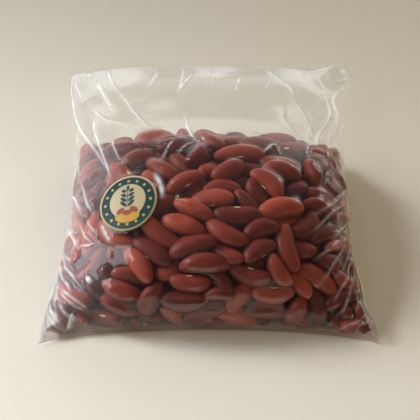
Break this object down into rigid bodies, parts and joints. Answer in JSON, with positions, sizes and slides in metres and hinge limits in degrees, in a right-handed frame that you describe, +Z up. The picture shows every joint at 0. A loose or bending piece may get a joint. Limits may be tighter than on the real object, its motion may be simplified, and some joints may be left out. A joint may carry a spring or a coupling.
{
  "type": "bag of dried beans",
  "caption": "Clear heat-sealed film bag of dried kidney beans lying on its back, with an empty upper end and a round sticker.",
  "frame": {"origin": "middle of the bag's box in plan, on the surface that it lies on", "axes": "+Y from the filled, bottom-sealed end to the empty, top-sealed end, +Z up from the surface, +X to the right seen from the filled end"},
  "size_m": [0.1396, 0.165, 0.048],
  "materials": {
    "film": "thin clear glossy film with creases and hazy seals",
    "beans": "semi-gloss dark red bean skins with pale hilum spots",
    "sticker": "printed coated paper with cream, dark teal and gold fields"
  },
  "bodies": {
    "root": {"bean_bag": "film", "round_sticker": "sticker"}
  },
  "joints": []
}
